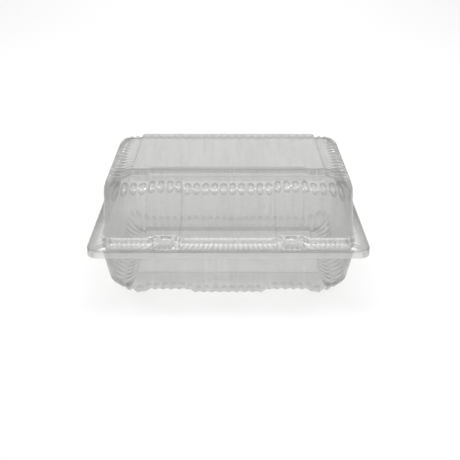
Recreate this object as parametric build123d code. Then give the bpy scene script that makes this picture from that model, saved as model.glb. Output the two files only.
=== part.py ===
"""Clear hinged food pack: a tray and its lid, formed from one plastic sheet and joined by a fold at the back.

Millimetres, +Z up, front towards -Y. The closed pack stands on z = 0, centred on x = 0 and y = 0.
"""

import os
from math import cos, hypot, pi, radians, sin

from build123d import *

# Flats that make up each rounded corner of an outline
corner_flats = 5

# Sheet and rim
sheet = 0.4
rim_width = 231.0
rim_depth = 184.0
rim_corner = 9.0
skirt_height = 6.0
closing_gap = 0.25

# Tray, over its outside: mouth at the rim, sharp edge of the floor, flutes across that edge
tray_height = 52.5
tray_mouth_width = 214.5
tray_mouth_depth = 160.0
tray_mouth_corner = 10.0
tray_floor_width = 202.0
tray_floor_depth = 138.0
tray_shoulder_corner = 15.0
tray_floor_corner = 17.0
tray_flute_reach_front = 3.5
tray_flute_reach_side = 12.4
tray_flute_drop = 9.0
tray_corner_drop = 13.0

# Lid, over its outside: upright foot, small ledge, sloping wall, sharp top edge, flutes across that edge
lid_height = 46.0
lid_foot_width = 211.0
lid_foot_depth = 161.0
lid_foot_height = 6.0
lid_foot_corner = 10.0
lid_foot_draft = 0.5
lid_ledge = 1.5
lid_top_width = 206.0
lid_top_depth = 134.4
lid_shoulder_corner = 15.0
lid_top_corner = 17.0
lid_flute_reach_front = 8.7
lid_flute_reach_side = 12.4
lid_flute_drop = 6.2
lid_corner_drop = 12.0

# Flutes
flute_pitch = 7.4
flute_width = 5.4
flute_sides = 9
bevel_share = 0.58
corner_flute_width = 6.6
corner_reach_share = 0.85
step_flute_turn = 35.0

# Stacking panel: raised on the lid, pressed up into the tray's floor
panel_height = 5.8
panel_width = 161.0
panel_depth = 92.0
panel_back_shift = 5.4
panel_corner = 3.0
panel_slope = 2.5
panel_clearance = 1.0

# Lock recesses in the front and the press buttons on the rim in front of them
lock_spacing = 103.0
recess_depth = 5.0
recess_width_at_rim = 31.0
recess_width_at_lid_top = 36.0
recess_width_at_tray_floor = 46.0
recess_side_run = 7.0
button_width = 13.5
button_depth = 7.0
button_height = 4.0
button_taper = 1.0
button_from_front = 8.0

# Fold at the back
fold_length = 160.0
fold_radius = 1.8
skirt_end_gap = 2.0

# Cutters pass this far beyond what they cut
overrun = 5.0

rim_level = tray_height
lid_level = rim_level + closing_gap
fold_centre = rim_depth / 2 - sheet + fold_radius
back_shift = -(fold_centre + fold_radius - rim_depth / 2) / 2


def outline(width, depth, corner, recess_width=None, inset=0.0):
    """Plan outline as a ring of points: a rounded rectangle, with two lock recesses in its front if asked."""
    half_width = width / 2 - inset
    half_depth = depth / 2 - inset
    front = []
    if recess_width:
        near_side = (lock_spacing - recess_width) / 2 - inset
        far_side = (lock_spacing + recess_width) / 2 + inset
        back_of_recess = recess_depth - half_depth
        corner = min(corner, half_width - far_side - sheet)
        right_recess = [
            (near_side, -half_depth),
            (near_side + recess_side_run, back_of_recess),
            (far_side - recess_side_run, back_of_recess),
            (far_side, -half_depth),
        ]
        front = [(-x, y) for x, y in reversed(right_recess)] + right_recess
    hub_x = half_width - corner
    hub_y = half_depth - corner
    corners = []
    for quarter, (side, end) in enumerate(((1, -1), (1, 1), (-1, 1), (-1, -1))):
        for flat in range(corner_flats + 1):
            angle = (quarter - 1 + flat / corner_flats) * pi / 2
            corners.append((side * hub_x + corner * cos(angle), end * hub_y + corner * sin(angle)))
    return front + corners


def between(lower, lower_level, upper, upper_level):
    """Solid with flat walls between two outlines that have the same number of points."""
    low = [Vector(x, y, lower_level) for x, y in lower]
    high = [Vector(x, y, upper_level) for x, y in upper]
    walls = [[low[step - 1], low[step], high[step], high[step - 1]] for step in range(len(low))]
    faces = [Face(Wire.make_polygon(points)) for points in [low, high] + walls]
    return Part() + Solid(Shell(faces))


def prism(ring, level, height):
    """Upright solid on an outline."""
    return between(ring, level, ring, level + height)


def flute(edge, inward, reach, drop, width, level, up, deeper):
    """Round cutter across an edge: it leaves the flat at `reach` and the wall at `drop` from the edge."""
    length = hypot(reach, drop)
    along = (-inward * reach - Vector(0, 0, up) * drop) / length
    outward = (-inward * drop + Vector(0, 0, up) * reach) / length
    cut = reach * drop / length * (1 - bevel_share)
    radius = ((width / 2) ** 2 + cut**2) / (2 * cut)
    middle = edge + Vector(0, 0, level) + inward * reach / 2 - Vector(0, 0, up) * drop / 2
    section = RegularPolygon(radius + deeper, flute_sides, major_radius=False)
    cutter = extrude(section, length / 2 + overrun, both=True)
    return Plane(origin=middle + outward * radius, x_dir=outward, z_dir=along) * cutter


def flute_row(width, depth, corner, level, up, reach_front, reach_side, drop, corner_drop, deeper):
    """All flutes of one block: across its front, back, sides and corners."""
    cutters = []
    half_width, half_depth = width / 2, depth / 2
    across = int((half_width - corner) / flute_pitch + 1 / 2)
    along = int((half_depth - corner) / flute_pitch + 1 / 2)
    near_step = lock_spacing / 2 - recess_width_at_rim / 2
    far_step = lock_spacing / 2 + recess_width_at_rim / 2
    turn = radians(step_flute_turn)
    for side in (-1, 1):
        for count in range(across):
            place = (count + 1 / 2) * flute_pitch
            front = Vector(side * place, -half_depth, 0)
            ahead = Vector(0, 1, 0)
            if near_step < place < far_step:
                front += Vector(0, recess_depth, 0)
            elif abs(place - near_step) < flute_pitch / 2:
                ahead = Vector(-side * sin(turn), cos(turn), 0)
            elif abs(place - far_step) < flute_pitch / 2:
                ahead = Vector(side * sin(turn), cos(turn), 0)
            cutters.append(flute(front, ahead, reach_front, drop, flute_width, level, up, deeper))
            back = Vector(side * place, half_depth, 0)
            behind = Vector(0, -1, 0)
            cutters.append(flute(back, behind, reach_front, drop, flute_width, level, up, deeper))
        for count in range(-along, along):
            flank = Vector(side * half_width, (count + 1 / 2) * flute_pitch, 0)
            beside = Vector(-side, 0, 0)
            cutters.append(flute(flank, beside, reach_side, drop, flute_width, level, up, deeper))
        for end in (-1, 1):
            hub = Vector(side * (half_width - corner), end * (half_depth - corner), 0)
            count = round(corner * pi / 2 / flute_pitch)
            reach = corner * corner_reach_share
            for place in range(count):
                angle = (place + 1 / 2) / count * pi / 2
                inward = Vector(-side * cos(angle), -end * sin(angle), 0)
                edge = hub - inward * corner
                cutters.append(flute(edge, inward, reach, corner_drop, corner_flute_width, level, up, deeper))
    return cutters


def tray_block(inset):
    """The tray's formed body as a solid; the inset gives its inside."""
    shoulder = tray_flute_drop * bevel_share
    rise_share = shoulder / tray_height
    shoulder_width = tray_floor_width + (tray_mouth_width - tray_floor_width) * rise_share
    shoulder_depth = tray_floor_depth + (tray_mouth_depth - tray_floor_depth) * rise_share
    floor_width = tray_floor_width - 2 * tray_flute_reach_side * bevel_share
    floor_depth = tray_floor_depth - 2 * tray_flute_reach_front * bevel_share
    mouth = outline(tray_mouth_width, tray_mouth_depth, tray_mouth_corner, recess_width_at_rim, inset)
    hip = outline(shoulder_width, shoulder_depth, tray_shoulder_corner, recess_width_at_tray_floor, inset)
    foot = outline(floor_width, floor_depth, tray_floor_corner, recess_width_at_tray_floor, inset)
    hip_level = shoulder + inset / 2
    block = between(foot, inset, hip, hip_level) + between(hip, hip_level, mouth, rim_level)
    block -= flute_row(
        tray_floor_width, tray_floor_depth, tray_shoulder_corner, 0, -1,
        tray_flute_reach_front, tray_flute_reach_side, tray_flute_drop, tray_corner_drop, inset,
    )
    return block


def lid_block(inset):
    """The lid's formed body as a solid, standing on its own rim; the inset gives its inside."""
    shoulder = lid_height - lid_flute_drop * bevel_share
    wall_width = lid_foot_width - 2 * (lid_foot_draft + lid_ledge)
    wall_depth = lid_foot_depth - 2 * (lid_foot_draft + lid_ledge)
    rise_share = (shoulder - lid_foot_height) / (lid_height - lid_foot_height)
    shoulder_width = wall_width + (lid_top_width - wall_width) * rise_share
    shoulder_depth = wall_depth + (lid_top_depth - wall_depth) * rise_share
    crown_width = lid_top_width - 2 * lid_flute_reach_side * bevel_share
    crown_depth = lid_top_depth - 2 * lid_flute_reach_front * bevel_share
    foot = outline(lid_foot_width, lid_foot_depth, lid_foot_corner, recess_width_at_rim, inset)
    ledge = outline(
        lid_foot_width - 2 * lid_foot_draft, lid_foot_depth - 2 * lid_foot_draft,
        lid_foot_corner, recess_width_at_rim, inset,
    )
    wall = outline(wall_width, wall_depth, lid_foot_corner, recess_width_at_rim, inset)
    hip = outline(shoulder_width, shoulder_depth, lid_shoulder_corner, recess_width_at_lid_top, inset)
    crown = outline(crown_width, crown_depth, lid_top_corner, recess_width_at_lid_top, inset)
    ledge_level = lid_foot_height - inset
    block = between(foot, 0, ledge, ledge_level)
    hip_level = shoulder - inset / 2
    block += between(wall, ledge_level, hip, hip_level) + between(hip, hip_level, crown, lid_height - inset)
    block -= flute_row(
        lid_top_width, lid_top_depth, lid_shoulder_corner, lid_height, 1,
        lid_flute_reach_front, lid_flute_reach_side, lid_flute_drop, lid_corner_drop, inset,
    )
    return block


def panel(growth, drop):
    """Stacking panel with sloping sides, its foot at z = 0 and its top at its height less the drop."""
    top = outline(panel_width + 2 * growth, panel_depth + 2 * growth, panel_corner)
    foot_width = panel_width + 2 * (growth + panel_slope)
    foot = outline(foot_width, panel_depth + 2 * (growth + panel_slope), panel_corner)
    return Pos(0, panel_back_shift, 0) * between(foot, 0, top, panel_height - drop)


def buttons(growth):
    """The pair of tapered press buttons on the rim, their feet at z = 0."""
    foot = outline(button_width + 2 * growth, button_depth + 2 * growth, button_taper)
    top_width = button_width + 2 * (growth - button_taper)
    top = outline(top_width, button_depth + 2 * (growth - button_taper), button_taper)
    button = between(foot, 0, top, button_height + growth)
    place = -rim_depth / 2 + button_from_front
    return [Pos(side * lock_spacing / 2, place, 0) * button for side in (-1, 1)]


def rim(level):
    """Flat rim plate of the sheet's thickness, its underside at the level."""
    return prism(outline(rim_width, rim_depth, rim_corner), level, sheet)


def fold(side):
    """Half-round loop along the back edge: the tray's lower half, side -1, or the lid's upper, side 1."""
    loop = Circle(fold_radius) - Circle(fold_radius - sheet)
    half = Pos(0, side * fold_radius) * Rectangle(2 * fold_radius, 2 * fold_radius)
    profile = loop & half
    return Pos(-fold_length / 2, fold_centre, 0) * extrude(Plane.YZ * profile, fold_length)


def make_tray():
    body = tray_block(0) + rim(rim_level - sheet)
    skirt = prism(outline(rim_width, rim_depth, rim_corner), 0, skirt_height)
    skirt -= prism(outline(rim_width, rim_depth, rim_corner - sheet, inset=sheet), 0, skirt_height)
    fold_gap = Box(fold_length + 2 * skirt_end_gap, rim_corner, skirt_height)
    skirt -= Pos(0, rim_depth / 2, skirt_height / 2) * fold_gap
    body += Pos(0, 0, rim_level - skirt_height) * skirt
    body += [Pos(0, 0, rim_level) * button for button in buttons(0)]
    body += Pos(0, 0, rim_level) * fold(-1)
    hollow = tray_block(sheet)
    mouth = outline(tray_mouth_width, tray_mouth_depth, tray_mouth_corner, recess_width_at_rim, sheet)
    hollow += prism(mouth, rim_level, overrun)
    hollow -= panel(panel_clearance + sheet, -sheet)
    body -= hollow
    body -= panel(panel_clearance, 0)
    body -= [Pos(0, 0, rim_level - sheet) * button for button in buttons(-sheet)]
    return body


def make_lid():
    body = lid_block(0) + rim(0) + Pos(0, 0, lid_height) * panel(0, 0)
    body += buttons(closing_gap + sheet)
    body += fold(1)
    hollow = lid_block(sheet)
    mouth = outline(lid_foot_width, lid_foot_depth, lid_foot_corner, recess_width_at_rim, sheet)
    hollow += prism(mouth, -overrun, overrun)
    hollow += Pos(0, 0, lid_height - sheet) * panel(-sheet, 0)
    body -= hollow
    body -= buttons(closing_gap)
    return Pos(0, 0, lid_level) * body


os.makedirs("parts", exist_ok=True)
centred = Pos(0, back_shift, 0)
export_step(centred * make_tray(), "parts/base_tray.step")
export_step(centred * make_lid(), "parts/lid.step")
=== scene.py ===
from collections import namedtuple
from math import cos, pi, radians, sin

import bmesh
import bpy
from mathutils import Matrix, Vector


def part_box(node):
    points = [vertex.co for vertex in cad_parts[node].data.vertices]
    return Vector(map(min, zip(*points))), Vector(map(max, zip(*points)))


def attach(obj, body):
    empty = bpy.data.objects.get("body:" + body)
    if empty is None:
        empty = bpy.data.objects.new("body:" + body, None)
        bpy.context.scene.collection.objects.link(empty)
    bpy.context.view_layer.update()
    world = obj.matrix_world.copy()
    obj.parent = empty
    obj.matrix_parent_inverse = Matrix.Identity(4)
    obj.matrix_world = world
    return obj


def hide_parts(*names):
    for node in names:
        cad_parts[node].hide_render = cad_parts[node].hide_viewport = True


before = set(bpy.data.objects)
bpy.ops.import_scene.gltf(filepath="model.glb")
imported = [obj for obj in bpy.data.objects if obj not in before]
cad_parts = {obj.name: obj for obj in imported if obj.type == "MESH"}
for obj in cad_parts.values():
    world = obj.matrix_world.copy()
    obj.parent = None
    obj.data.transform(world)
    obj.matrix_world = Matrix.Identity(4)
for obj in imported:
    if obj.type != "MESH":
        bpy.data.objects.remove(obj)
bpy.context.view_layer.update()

# Base tray: the deep lower half of the pack, drawn down out of one clear PET sheet in a heated mould.
# Its rim turns down into a skirt, its floor edge is fluted to stiffen it and a panel is pressed up in its
# floor. Two press buttons stand on the rim, and half of the fold that carries the lid runs along its back.
mm = 0.001
sheet = 0.4 * mm
bend_steps = 3
rim_depth = 184 * mm
rim_corner = 9 * mm
skirt_height = 6 * mm
skirt_radius = 1.2 * mm
skirt_end_gap = 2 * mm
closing_gap = 0.25 * mm
fold_length = 160 * mm
fold_steps = 10
tray_fold_radius = 1.4 * mm

tray_mouth = (214.5 * mm, 160 * mm)
tray_mouth_corner = 10 * mm
tray_mouth_radius = 1.2 * mm
tray_floor = (202 * mm, 138 * mm)
tray_floor_corner = 15 * mm
tray_flute_reaches = (3.5 * mm, 12.4 * mm, 15.5 * mm)
tray_flute_drops = (9 * mm, 15.5 * mm)
tray_land_shares = (0.55, 0.8)

flute_counts = (24, 14, 3)
flute_width = 5.4 * mm
corner_flute_width = 6.6 * mm
flute_roundness = 0.6
flute_steps = 12
flute_bulge_share = 0.35
land_bulge_share = 0.65
edge_rings = 7
edge_support = 0.6 * mm

panel_size = (161 * mm, 92 * mm)
panel_height = 5.8 * mm
panel_back_shift = 5.4 * mm
panel_corner = 3 * mm
panel_slope = 2.5 * mm
panel_clearance = 1 * mm
panel_foot_radius = 1.6 * mm
panel_edge_radius = 1.2 * mm

lock_spacing = 103 * mm
recess_depth = 5 * mm
recess_side_run = 7 * mm
recess_width_at_rim = 31 * mm
recess_width_at_tray_floor = 46 * mm
button_size = (13.5 * mm, 7 * mm)
button_height = 4 * mm
button_taper = 1 * mm
button_from_front = 8 * mm

# Painted shade and glint marks: above 0 the see-through tint is darkened, as painted shade along tight
# bends, flute outlines and rim edges and in part for sheet that stayed thick; below 0 extra gloss is laid on
# as a painted glint. Those of a ring that differs round the pack are for its front, its two ends and its
# back.
tray_edge_painted_shade = (0, 0.55, 0.2, 0, 0.15, 0.5, 0)
skirt_foot_shade_glint = (-0.3, 0.2, 0)
tray_rim_shade_glint = (-0.2, 0.6, 0)
tray_mouth_painted_shade = (0, 0.6, 0)
skirt_painted_shade = 0.4
panel_foot_painted_shade = 0.6
tray_panel_edge_shade = 0.4
button_painted_glint = -0.4

tray_low, tray_high = (Vector(corner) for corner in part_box("base_tray"))
lid_low, lid_high = (Vector(corner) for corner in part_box("lid"))
rim_size = (tray_high.x - tray_low.x, rim_depth)
rim_front = tray_low.y
rim_back = rim_front + rim_depth
lid_level = lid_low.z
rim_level = lid_level - closing_gap
centre = Vector((0, rim_front + rim_depth / 2, 0))

# A station round the pack: its side, counted from the front on, how far along that side it lies, from -1
# to 1, how far round the corner after it, from 0 to 1, and how deep a flute is there, from 0 to 1.
Station = namedtuple("Station", "side along turn hollow")


def between(first, second, share):
    """Value that lies a share of the way from one to another."""
    return first + (second - first) * share


def smooth(share):
    """Eases a share between 0 and 1."""
    share = min(max(share, 0), 1)
    return share * share * (3 - 2 * share)


def grown(size, margin):
    """A plan size with a margin added on every side."""
    return (size[0] + 2 * margin, size[1] + 2 * margin)


def hollow(offset, width):
    """Depth of a round flute, from 0 on its edge to 1 along its middle."""
    return max(0, 1 - (2 * offset / width) ** 2) ** flute_roundness


def stations(edge_size, edge_corner):
    """Stations round a fluted edge: four straight sides from the front on, each with the corner after it."""
    found = []
    for side in range(4):
        count = flute_counts[side % 2]
        pitch = (edge_size[side % 2] - 2 * edge_corner) / count
        steps = count * flute_steps
        for step in range(steps):
            offset = (step % flute_steps / flute_steps - 0.5) * pitch
            found.append(Station(side, 2 * step / steps - 1, 0, hollow(offset, flute_width)))
        pitch = edge_corner * pi / 2 / flute_counts[2]
        steps = flute_counts[2] * flute_steps
        for step in range(steps):
            offset = (step % flute_steps / flute_steps - 0.5) * pitch
            found.append(Station(side, 1, step / steps, hollow(offset, corner_flute_width)))
    return found


def recess(place, width):
    """How far into a lock recess a place along the front lies, from 0 to 1."""
    inside = width / 2 - abs(abs(place) - lock_spacing / 2)
    return smooth(inside / recess_side_run)


def plan(station, size, corner, recess_width=0):
    """Point of a plan outline at a station, and the direction outwards there."""
    angle = (station.side - 1) * pi / 2
    run = size[station.side % 2] / 2 - corner
    away = size[1 - station.side % 2] / 2 - corner
    hub = Vector((cos(angle), sin(angle), 0)) * away
    hub += Vector((-sin(angle), cos(angle), 0)) * run * station.along
    turned = angle + station.turn * pi / 2
    outwards = Vector((cos(turned), sin(turned), 0))
    point = hub + outwards * corner
    if recess_width and station.side == 0:
        point.y += recess_depth * recess(point.x, recess_width)
    return point + centre, outwards


def level_ring(row, level, size, corner, recess_width=0, shift=0):
    """Places of one ring of a sheet, all at one level."""
    lift = Vector((0, shift, level))
    return [plan(station, size, corner, recess_width)[0] + lift for station in row]


def fluted_rings(row, edge, wall, corner_radius, recess_widths, reaches, drops, land_shares, levels):
    """Rings from the wall over the fluted edge to the flat. A flute cuts the edge off further than the land
    beside it does, and the cut deepens from the straight sides to the corners."""
    rings = [[] for place in range(edge_rings)]
    wall_level, edge_level = levels
    for station in row:
        foot, outwards = plan(station, *wall, recess_widths[0])
        tip, outwards = plan(station, edge, corner_radius, recess_widths[1])
        foot.z = wall_level
        tip.z = edge_level
        side = (station.side + (station.turn > 0.5)) % 2
        run = edge[side] / 2 - corner_radius
        near_corner = smooth(1 - 2 * (1 - abs(station.along)) * run / corner_radius)
        rounded = (near_corner + smooth(4 * min(station.turn, 1 - station.turn))) / 2
        reach = between(reaches[side], reaches[2], rounded)
        drop = between(*drops, rounded)
        cut = between(between(*land_shares, rounded), 1, station.hollow)
        bulge = between(land_bulge_share, flute_bulge_share, station.hollow)
        on_wall = tip.lerp(foot, drop * cut / abs(edge_level - wall_level))
        on_flat = tip - outwards * reach * cut
        over = on_wall.lerp(on_flat, 0.5).lerp(tip, bulge)
        rings[0].append(on_wall + (foot - tip).normalized() * edge_support)
        for step, ring in enumerate(rings[1:-1]):
            share = step / (edge_rings - 3)
            ring.append(on_wall.lerp(over, share).lerp(over.lerp(on_flat, share), share))
        rings[-1].append(on_flat - outwards * edge_support)
    return rings


def new_sheet():
    """An empty sheet that can hold painted shade and glint marks."""
    bm = bmesh.new()
    bm.verts.layers.float.new("painted_shade_glint")
    return bm


def paint_shade_glint(bm, verts, marks):
    """Paints shade (above 0) and glint (below 0) marks on some of its vertices."""
    layer = bm.verts.layers.float["painted_shade_glint"]
    for vert, mark in zip(verts, marks):
        vert[layer] = mark


def mark_round_pack(station, front, ends, back):
    """Mark at a station, from those of the front, the two ends and the back. It changes over in the quarter
    of a corner that is next to the front or the back."""
    marks = (front, ends, back, ends, front)
    turned = smooth(4 * station.turn - 3 * (station.side % 2))
    return between(marks[station.side], marks[station.side + 1], turned)


def ring_edges(bm, ring):
    """Edges of a closed ring of vertices."""
    return [bm.edges.get((ring[step - 1], ring[step])) for step in range(len(ring))]


def first_ring(bm, places):
    """Starts a sheet as a circle of vertices moved to their places."""
    ring = bmesh.ops.create_circle(bm, segments=len(places), radius=1)["verts"]
    for vert, place in zip(ring, places):
        vert.co = place
    return ring


def next_ring(bm, ring, places):
    """Draws the sheet on from one ring to the next."""
    made = bmesh.ops.extrude_edge_only(bm, edges=ring_edges(bm, ring))["geom"]
    fresh = {item for item in made if isinstance(item, bmesh.types.BMVert)}
    following = []
    for vert, place in zip(ring, places):
        drawn = next(e.other_vert(vert) for e in vert.link_edges if e.other_vert(vert) in fresh)
        drawn.co = place
        following.append(drawn)
    return following


def draw_edge(bm, ring, row, rings, marks):
    """Draws the sheet over a fluted edge, with tight bends where each flute runs out, given painted shade."""
    for places, mark in zip(rings, marks):
        ring = next_ring(bm, ring, places)
        paint_shade_glint(bm, ring, [mark * min(2 * station.hollow, 1) for station in row])
    return ring


def round_edges(bm, edges, radius, mark=0):
    """Gives edges the soft radius that a formed sheet has, and paints shade on the bevel where a mark is
    given.
    """
    made = bmesh.ops.bevel(bm, geom=edges, offset=radius, offset_type="OFFSET", segments=bend_steps,
                           profile=0.5, affect="EDGES", clamp_overlap=True, material=-1)
    faces = set(made["faces"])
    if mark:
        within = [vert for vert in made["verts"] if all(face in faces for face in vert.link_faces)]
        paint_shade_glint(bm, within, [mark] * len(within))


def press_button(bm, x, level, size, height):
    """Raises one press button out of the flat rim: its outline is cut into the rim, then drawn up."""
    middle = Vector((x, rim_front + button_from_front, level))
    outline_share = 0.5
    cut_share = 1.5

    def on_rim(face, share):
        """Whether a face lies on the flat rim, within a share of the button's size from its middle."""
        offset = face.calc_center_median() - middle
        return all(abs(offset[axis]) < size[axis] * share for axis in (0, 1)) and abs(offset.z) < sheet / 2

    for axis, side in ((0, -1), (0, 1), (1, -1), (1, 1)):
        near = [face for face in bm.faces if on_rim(face, cut_share)]
        edges = list(dict.fromkeys(edge for face in near for edge in face.edges))
        verts = list(dict.fromkeys(vert for face in near for vert in face.verts))
        across = Vector((1 - axis, axis, 0))
        cut = middle + across * side * size[axis] / 2
        bmesh.ops.bisect_plane(bm, geom=near + edges + verts, plane_co=cut, plane_no=across)
    foot = [face for face in bm.faces if on_rim(face, outline_share)]
    raised = bmesh.ops.extrude_face_region(bm, geom=foot)["geom"]
    verts = [item for item in raised if isinstance(item, bmesh.types.BMVert)]
    faces = [item for item in raised if isinstance(item, bmesh.types.BMFace)]
    bmesh.ops.delete(bm, geom=[face for face in foot if face.is_valid], context="FACES")
    shrink = Vector((1 - 2 * button_taper / size[0], 1 - 2 * button_taper / size[1], 1))
    bmesh.ops.scale(bm, vec=shrink, space=Matrix.Translation(-middle), verts=verts)
    bmesh.ops.translate(bm, vec=(0, 0, height), verts=verts)
    # The raised faces get a painted glint.
    paint_shade_glint(bm, verts, [button_painted_glint] * len(verts))
    edges = dict.fromkeys(edge for face in faces for edge in face.edges)
    round_edges(bm, [edge for edge in edges if sum(face in faces for face in edge.link_faces) == 1], sheet)


def roll_fold(bm, ring, radius, angle, end_drop):
    """Rolls the rim's back edge into its half of the fold, with a straight lip of the given drop."""
    edges = [edge for edge in ring_edges(bm, ring)
             if all(v.co.y > rim_back - sheet and abs(v.co.x) <= fold_length / 2 for v in edge.verts)]
    hub = Vector((0, rim_back + radius, edges[0].verts[0].co.z))
    spun = bmesh.ops.spin(bm, geom=edges, cent=hub, axis=(1, 0, 0), angle=angle, steps=fold_steps)
    if end_drop:
        ends = [item for item in spun["geom_last"] if isinstance(item, bmesh.types.BMEdge)]
        lip = bmesh.ops.extrude_edge_only(bm, edges=ends)["geom"]
        verts = [item for item in lip if isinstance(item, bmesh.types.BMVert)]
        bmesh.ops.translate(bm, vec=(0, 0, -end_drop), verts=verts)


def finish_sheet(bm, name, material):
    """Makes the formed surface a smooth sheet of its real thickness, which lies behind the side facing up."""
    flat_weight = 80
    bmesh.ops.recalc_face_normals(bm, faces=bm.faces)
    widest = max(bm.faces, key=lambda face: face.calc_area())
    if widest.normal.z < 0:
        bmesh.ops.reverse_faces(bm, faces=bm.faces)
    for face in bm.faces:
        face.smooth = True
    mesh = bpy.data.meshes.new(name)
    bm.to_mesh(mesh)
    bm.free()
    mesh.materials.append(material)
    piece = bpy.data.objects.new(name, mesh)
    bpy.context.scene.collection.objects.link(piece)
    wall = piece.modifiers.new("sheet thickness", "SOLIDIFY")
    wall.thickness = sheet
    wall.offset = -1
    flats = piece.modifiers.new("true flats", "WEIGHTED_NORMAL")
    flats.mode = "FACE_AREA"
    flats.weight = flat_weight
    return piece


def linear(hex_colour):
    """Linear colour, with alpha 1, of an sRGB hex value."""
    parts = [int(hex_colour[place:place + 2], 16) / 255 for place in (1, 3, 5)]
    return [p / 12.92 if p <= 0.04045 else ((p + 0.055) / 1.055) ** 2.4 for p in parts] + [1]


def add_node(tree, kind, inputs=None, **settings):
    """Adds a node with its settings; an input is a value or another node's output."""
    made = tree.nodes.new(kind)
    for name, value in settings.items():
        setattr(made, name, value)
    for socket, value in (inputs or {}).items():
        if isinstance(value, bpy.types.NodeSocket):
            tree.links.new(value, made.inputs[socket])
        else:
            made.inputs[socket].default_value = value
    return made


def clear_pet():
    """Clear PET sheet, vacuum formed: it lets most light straight through, less on a slant and where it
    stayed thick, and painted shade darkens it along marked bends and flute outlines. A slight grey haze veils
    what is behind it, draw lines break up its mirror gloss, and painted glints add gloss on marked faces."""
    draw_line_spacing = 2.5 * mm
    draw_line_height = 0.1 * mm
    draw_line_strength = 0.08
    draw_line_stretch = (1, 0.04, 0.04)
    draw_line_detail = 3
    thickness_patch = 40 * mm
    thickness_detail = 2
    thin_colour = "#F6F6F6"
    thick_colour = "#F2F2F1"
    slant_colour = "#EAEAE8"
    # The darkest tint is a painted shade for marked bends and flute outlines.
    painted_shade_colour = "#C0C0BE"
    haze_colour = "#D4D4D3"
    slant_power = 5
    painted_shade_share = 0.7
    least_haze_share = 0.14
    most_haze_share = 0.19
    clear_line = 0.3
    hazy_line = 0.7
    passed_on_share = 0.5
    face_gloss_share = 0.04
    slant_gloss_share = 0.4
    # Extra gloss where a mark is below 0 makes a painted glint.
    painted_glint_gloss_share = 0.55
    least_roughness = 0.05
    most_roughness = 0.12
    lamp_clear_share = 0.85

    material = bpy.data.materials.new("clear_pet_sheet")
    material.use_nodes = True
    tree = material.node_tree
    tree.nodes.clear()

    # Draw lines run from front to back and up the walls, and the sheet's thickness changes in broad patches.
    where = add_node(tree, "ShaderNodeTexCoord").outputs["Object"]
    drawn = add_node(tree, "ShaderNodeMapping", {"Vector": where, "Scale": draw_line_stretch}).outputs[0]
    line_inputs = {"Vector": drawn, "Scale": 1 / draw_line_spacing, "Detail": draw_line_detail}
    lines = add_node(tree, "ShaderNodeTexNoise", line_inputs).outputs["Fac"]
    patch_inputs = {"Vector": where, "Scale": 1 / thickness_patch, "Detail": thickness_detail}
    patches = add_node(tree, "ShaderNodeTexNoise", patch_inputs).outputs["Fac"]
    bump_inputs = {"Height": lines, "Strength": draw_line_strength, "Distance": draw_line_height}
    bump = add_node(tree, "ShaderNodeBump", bump_inputs).outputs[0]
    facing = add_node(tree, "ShaderNodeLayerWeight", {"Blend": 0.5}).outputs["Facing"]
    slant = add_node(tree, "ShaderNodeMath", {0: facing, 1: slant_power}, operation="POWER").outputs[0]
    mark = add_node(tree, "ShaderNodeAttribute", attribute_name="painted_shade_glint").outputs["Fac"]
    painted_shade = add_node(tree, "ShaderNodeMapRange", {"Value": mark, "To Max": painted_shade_share}).outputs[0]
    painted_glint_inputs = {"Value": mark, "From Min": 0, "From Max": -1, "To Max": painted_glint_gloss_share}
    painted_glint = add_node(tree, "ShaderNodeMapRange", painted_glint_inputs).outputs[0]

    # What passes straight through is tinted where the sheet is thick or slanted, and darkened by painted
    # shade where it is marked above 0. Inputs 6 and 7 and output 2 of a Mix node are its colours.
    tint = linear(thin_colour)
    for share, colour in ((patches, thick_colour), (slant, slant_colour), (painted_shade, painted_shade_colour)):
        tint_inputs = {"Factor": share, 6: tint, 7: linear(colour)}
        tint = add_node(tree, "ShaderNodeMix", tint_inputs, data_type="RGBA").outputs[2]
    through = add_node(tree, "ShaderNodeBsdfTransparent", {"Color": tint}).outputs[0]
    sent_back = add_node(tree, "ShaderNodeBsdfDiffuse", {"Color": linear(haze_colour)}).outputs[0]
    passed_on = add_node(tree, "ShaderNodeBsdfTranslucent", {"Color": linear(haze_colour)}).outputs[0]
    scattered = {0: passed_on_share, 1: sent_back, 2: passed_on}
    haze = add_node(tree, "ShaderNodeMixShader", scattered).outputs[0]
    haze_inputs = {"Value": lines, "From Min": clear_line, "From Max": hazy_line,
                   "To Min": least_haze_share, "To Max": most_haze_share}
    haze_share = add_node(tree, "ShaderNodeMapRange", haze_inputs).outputs[0]
    veiled = add_node(tree, "ShaderNodeMixShader", {0: haze_share, 1: through, 2: haze}).outputs[0]

    # The gloss grows on a slant, and a painted glint adds more where a face is marked below 0.
    slant_inputs = {0: slant, 1: slant_gloss_share, 2: face_gloss_share}
    plain_gloss = add_node(tree, "ShaderNodeMath", slant_inputs, operation="MULTIPLY_ADD").outputs[0]
    gloss_share = add_node(tree, "ShaderNodeMath", {0: plain_gloss, 1: painted_glint}, operation="ADD").outputs[0]
    rough_inputs = {"Value": patches, "To Min": least_roughness, "To Max": most_roughness}
    roughness = add_node(tree, "ShaderNodeMapRange", rough_inputs).outputs[0]
    gloss_inputs = {"Color": linear("#FFFFFF"), "Roughness": roughness, "Normal": bump}
    gloss = add_node(tree, "ShaderNodeBsdfAnisotropic", gloss_inputs).outputs[0]
    seen = add_node(tree, "ShaderNodeMixShader", {0: gloss_share, 1: veiled, 2: gloss}).outputs[0]

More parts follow.
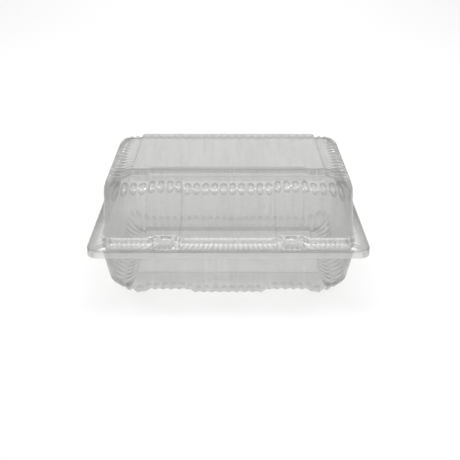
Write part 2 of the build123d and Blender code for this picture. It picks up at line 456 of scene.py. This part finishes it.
    # Light from the lamps passes through the sheet with little loss, so its shadow stays faint.
    lamp_ray = add_node(tree, "ShaderNodeLightPath").outputs["Is Shadow Ray"]
    clear_inputs = {0: lamp_ray, 1: lamp_clear_share}
    clear_share = add_node(tree, "ShaderNodeMath", clear_inputs, operation="MULTIPLY").outputs[0]
    clear = add_node(tree, "ShaderNodeBsdfTransparent").outputs[0]
    lit = add_node(tree, "ShaderNodeMixShader", {0: clear_share, 1: seen, 2: clear}).outputs[0]
    add_node(tree, "ShaderNodeOutputMaterial", {"Surface": lit})
    return material


pet = clear_pet()

tray_row = stations(tray_floor, tray_floor_corner)
mouth_inside = grown(tray_mouth, -sheet)
floor_inside = grown(tray_floor, -sheet)
tray_panel = grown(panel_size, panel_clearance + sheet)
tray_panel_foot = grown(tray_panel, panel_slope)
tray_edge = fluted_rings(
    tray_row, floor_inside, (mouth_inside, tray_mouth_corner), tray_floor_corner,
    (recess_width_at_rim, recess_width_at_tray_floor), tray_flute_reaches, tray_flute_drops,
    tray_land_shares, (rim_level, sheet),
)
mouth_places = level_ring(tray_row, rim_level, mouth_inside, tray_mouth_corner, recess_width_at_rim)
panel_foot_places = level_ring(tray_row, sheet, tray_panel_foot, panel_corner, shift=panel_back_shift)
panel_top = sheet + panel_height
panel_edge_places = level_ring(tray_row, panel_top, tray_panel, panel_corner, shift=panel_back_shift)

bm = new_sheet()
skirt_foot = first_ring(bm, level_ring(tray_row, rim_level - skirt_height, rim_size, rim_corner))
rim_edge = next_ring(bm, skirt_foot, level_ring(tray_row, rim_level, rim_size, rim_corner))
mouth = next_ring(bm, rim_edge, mouth_places)
floor_edge = draw_edge(bm, mouth, tray_row, tray_edge, tray_edge_painted_shade)
panel_foot = next_ring(bm, floor_edge, panel_foot_places)
panel_edge = next_ring(bm, panel_foot, panel_edge_places)
bmesh.ops.contextual_create(bm, geom=ring_edges(bm, panel_edge))
fold_gap = fold_length / 2 + skirt_end_gap
behind = [face for face in bm.faces if abs(face.calc_center_median().x) < fold_gap
          and face.calc_center_median().y > rim_back - sheet]
bmesh.ops.delete(bm, geom=behind, context="FACES")
roll_fold(bm, rim_edge, tray_fold_radius, pi, 0)
for ring, marks in ((skirt_foot, skirt_foot_shade_glint), (rim_edge, tray_rim_shade_glint), (mouth, tray_mouth_painted_shade)):
    for station, vert in zip(tray_row, ring):
        if vert.is_valid:
            paint_shade_glint(bm, [vert], [mark_round_pack(station, *marks)])
skirt_edges = [edge for edge in ring_edges(bm, rim_edge) if len(edge.link_faces) == 2
               and not all(vert.co.y > rim_back - sheet for vert in edge.verts)]
bends = (
    (skirt_edges, skirt_radius, skirt_painted_shade),
    (ring_edges(bm, mouth), tray_mouth_radius, 0),
    (ring_edges(bm, panel_foot), panel_foot_radius, panel_foot_painted_shade),
    (ring_edges(bm, panel_edge), panel_edge_radius, tray_panel_edge_shade),
)
for edges, radius, mark in bends:
    round_edges(bm, edges, radius, mark)
for side in (-1, 1):
    press_button(bm, side * lock_spacing / 2, rim_level, button_size, button_height)
tray = finish_sheet(bm, "formed_tray", pet)
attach(tray, "tray")
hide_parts("base_tray")

# Lid: the upper half of the pack, drawn up out of the same sheet as the tray and joined to it by the fold.
# An upright ribbed foot grips the mouth, the wall slopes in to a fluted top edge, and a raised panel in the
# top takes the floor of the next pack. Two hollow buttons on its rim snap over the tray's.
lid_foot = (211 * mm, 161 * mm)
lid_foot_corner = 10 * mm
lid_foot_height = 6 * mm
lid_foot_draft = 0.5 * mm
lid_foot_radius = 0.6 * mm
lid_rib_depth = 0.7 * mm
lid_ledge = 1.5 * mm
lid_ledge_radius = 0.5 * mm
lid_wall_radius = 0.6 * mm
lid_top = (206 * mm, 134.4 * mm)
lid_top_corner = 15 * mm
lid_flute_reaches = (8.7 * mm, 12.4 * mm, 12.7 * mm)
lid_flute_drops = (6.2 * mm, 12 * mm)
lid_land_shares = (0.55, 0.45)
lid_fold_radius = 1.6 * mm
rim_line_inset = 1.2 * mm
recess_width_at_lid_top = 36 * mm

# Painted shade and glint marks as on the tray. The second value of a ring's marks is how strong a painted
# glint lies on the ribs and recesses there.
lid_edge_painted_shade = (0, 0.45, 0.15, 0, 0.25, 0.85, 0)
lid_rim_painted_shade = ((0.8, 0.8, 0), 0)
rim_line_painted_shade = ((0, 0.6, 0), 0)
foot_border_shade_glint = ((-0.3, 0.6, 0), 1.6)
lid_foot_painted_glint = ((-0.45, 0, 0), 1.2)
lid_ledge_painted_glint = ((-0.45, 0, 0), 0.6)
lid_panel_edge_shade = 0.5
rib_flank_glint_share = 0.8


def ribbed_ring(row, level, size):
    """Places of one ring of the lid's foot at one level, pressed in by upright ribs at the flutes' pitch."""
    places = []
    for station in row:
        point, outwards = plan(station, size, lid_foot_corner, recess_width_at_rim)
        places.append(point - outwards * lid_rib_depth * station.hollow + Vector((0, 0, level)))
    return places


def painted_rib_glint(station, x):
    """Painted glint on the ribbed foot: most on the flanks of its ribs and on the sides of the lock recesses.
    """
    flank = 4 * station.hollow * (1 - station.hollow)
    inset = recess(x, recess_width_at_rim) if station.side == 0 else 0
    return max(rib_flank_glint_share * flank, 4 * inset * (1 - inset))


lid_row = stations(lid_top, lid_top_corner)
lid_rim_level = lid_level + sheet
ledge_level = lid_level + lid_foot_height
lid_top_level = lid_high.z - panel_height
rim_line_size = grown(rim_size, -rim_line_inset)
border_size = grown(lid_foot, edge_support)
ledge_size = grown(lid_foot, -lid_foot_draft)
wall_size = grown(ledge_size, -lid_ledge)
lid_panel_foot = grown(panel_size, panel_slope)
lid_edge = fluted_rings(
    lid_row, lid_top, (wall_size, lid_foot_corner), lid_top_corner,
    (recess_width_at_rim, recess_width_at_lid_top), lid_flute_reaches, lid_flute_drops,
    lid_land_shares, (ledge_level, lid_top_level),
)
border_places = level_ring(lid_row, lid_rim_level, border_size, lid_foot_corner, recess_width_at_rim)
wall_places = level_ring(lid_row, ledge_level, wall_size, lid_foot_corner, recess_width_at_rim)
panel_foot_places = level_ring(lid_row, lid_top_level, lid_panel_foot, panel_corner, shift=panel_back_shift)
panel_edge_places = level_ring(lid_row, lid_high.z, panel_size, panel_corner, shift=panel_back_shift)

bm = new_sheet()
rim_edge = first_ring(bm, level_ring(lid_row, lid_rim_level, rim_size, rim_corner))
rim_line = next_ring(bm, rim_edge, level_ring(lid_row, lid_rim_level, rim_line_size, rim_corner))
border = next_ring(bm, rim_line, border_places)
foot = next_ring(bm, border, ribbed_ring(lid_row, lid_rim_level, lid_foot))
ledge = next_ring(bm, foot, ribbed_ring(lid_row, ledge_level, ledge_size))
wall_foot = next_ring(bm, ledge, wall_places)
top_edge = draw_edge(bm, wall_foot, lid_row, lid_edge, lid_edge_painted_shade)
panel_foot = next_ring(bm, top_edge, panel_foot_places)
panel_edge = next_ring(bm, panel_foot, panel_edge_places)
bmesh.ops.contextual_create(bm, geom=ring_edges(bm, panel_edge))
marked_rings = (
    (rim_edge, lid_rim_painted_shade),
    (rim_line, rim_line_painted_shade),
    (border, foot_border_shade_glint),
    (foot, lid_foot_painted_glint),
    (ledge, lid_ledge_painted_glint),
)
# Painted shade and glint marks round the lid's rim, border, foot and ledge.
for ring, (marks, painted_glint) in marked_rings:
    for station, vert in zip(lid_row, ring):
        mark = mark_round_pack(station, *marks) - painted_glint * painted_rib_glint(station, vert.co.x)
        paint_shade_glint(bm, [vert], [mark])
roll_fold(bm, rim_edge, lid_fold_radius, -pi, sheet)
bends = (
    (ring_edges(bm, foot), lid_foot_radius, 0),
    (ring_edges(bm, ledge), lid_ledge_radius, 0),
    (ring_edges(bm, wall_foot), lid_wall_radius, 0),
    (ring_edges(bm, panel_foot), panel_foot_radius, panel_foot_painted_shade),
    (ring_edges(bm, panel_edge), panel_edge_radius, lid_panel_edge_shade),
)
for edges, radius, mark in bends:
    round_edges(bm, edges, radius, mark)
hood_size = grown(button_size, closing_gap + sheet)
for side in (-1, 1):
    press_button(bm, side * lock_spacing / 2, lid_rim_level, hood_size, button_height + closing_gap)
lid = finish_sheet(bm, "formed_lid", pet)
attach(lid, "cover")
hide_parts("lid")

# Studio: a plain white floor that reaches past the picture's edges, soft lamps round the pack and the camera
# where the photograph was taken from. None of it is part of the pack.
floor_reach = 4.0
floor_drop = 0.5 * mm
floor_glow = 0.12
floor_colour = "#F7F7F7"
sky_colour = "#FAFAFA"
sky_light = 0.5
sky_seen = 1.0
pack_middle = (0, 0, 0.05)
side_lamp_size = 0.2
side_lamp_power = 2.5
top_lamp_size = 1.2
top_lamp_power = 7.4
backdrop_lamp_size = 1.4
backdrop_lamp_power = 9.0
picture_width = 460
focal_pixels = 755
sensor_width = 36
camera_place = (0, -0.6342, 0.3335)
camera_pitch = radians(25.8)
camera_shift = 0.0037
most_sheets_in_line = 48


def seen_share(tree):
    """1 where a ray comes from the eye, straight or by way of gloss or glass, and 0 where it only lights."""
    ray = add_node(tree, "ShaderNodeLightPath")
    seen = ray.outputs["Is Camera Ray"]
    for kind in ("Is Glossy Ray", "Is Transmission Ray"):
        either = {0: seen, 1: ray.outputs[kind]}
        seen = add_node(tree, "ShaderNodeMath", either, operation="MAXIMUM").outputs[0]
    return seen


bm = bmesh.new()
bmesh.ops.create_grid(bm, x_segments=1, y_segments=1, size=floor_reach)
bmesh.ops.translate(bm, vec=(0, 0, -floor_drop), verts=bm.verts)
mesh = bpy.data.meshes.new("floor")
bm.to_mesh(mesh)
bm.free()
floor = bpy.data.objects.new("floor", mesh)
bpy.context.scene.collection.objects.link(floor)
paper = bpy.data.materials.new("white_studio_paper")
paper.use_nodes = True
tree = paper.node_tree
tree.nodes.clear()
glow_inputs = {0: seen_share(tree), 1: floor_glow}
glow = add_node(tree, "ShaderNodeMath", glow_inputs, operation="MULTIPLY").outputs[0]
matt = add_node(tree, "ShaderNodeBsdfDiffuse", {"Color": linear(floor_colour)}).outputs[0]
lift = add_node(tree, "ShaderNodeEmission", {"Color": linear("#FFFFFF"), "Strength": glow}).outputs[0]
both = add_node(tree, "ShaderNodeAddShader", {0: matt, 1: lift}).outputs[0]
add_node(tree, "ShaderNodeOutputMaterial", {"Surface": both})
floor.data.materials.append(paper)

world = bpy.data.worlds.new("studio")
bpy.context.scene.world = world
world.use_nodes = True
tree = world.node_tree
tree.nodes.clear()
sky_inputs = {0: seen_share(tree), 1: sky_seen - sky_light, 2: sky_light}
strength = add_node(tree, "ShaderNodeMath", sky_inputs, operation="MULTIPLY_ADD").outputs[0]
sky = add_node(tree, "ShaderNodeBackground", {"Color": linear(sky_colour), "Strength": strength}).outputs[0]
add_node(tree, "ShaderNodeOutputWorld", {"Surface": sky})

# Each lamp's name, place, aim, size and power, in metres and watts.
lamps = (
    ("left_box", (-0.80, 0.10, 0.95), pack_middle, side_lamp_size, side_lamp_power),
    ("right_box", (0.80, 0.10, 0.95), pack_middle, side_lamp_size, side_lamp_power),
    ("top_box", (0, 0.1, 1.6), pack_middle, top_lamp_size, top_lamp_power),
    ("backdrop_box", (0, 1.9, 1.3), (0, 1.9, 0), backdrop_lamp_size, backdrop_lamp_power),
)
for name, place, aim, size, power in lamps:
    lamp = bpy.data.lights.new(name, "AREA")
    lamp.size = size
    lamp.energy = power
    holder = bpy.data.objects.new(name, lamp)
    holder.location = place
    holder.rotation_euler = (Vector(aim) - Vector(place)).to_track_quat("-Z", "Y").to_euler()
    bpy.context.scene.collection.objects.link(holder)

camera_data = bpy.data.cameras.new("camera")
camera_data.sensor_width = sensor_width
camera_data.lens = focal_pixels / picture_width * sensor_width
camera_data.shift_x = camera_shift
camera = bpy.data.objects.new("camera", camera_data)
camera.location = camera_place
camera.rotation_euler = (pi / 2 - camera_pitch, 0, 0)
bpy.context.scene.collection.objects.link(camera)
bpy.context.scene.camera = camera
bpy.context.scene.cycles.transparent_max_bounces = most_sheets_in_line
bpy.context.scene.view_settings.view_transform = "Standard"
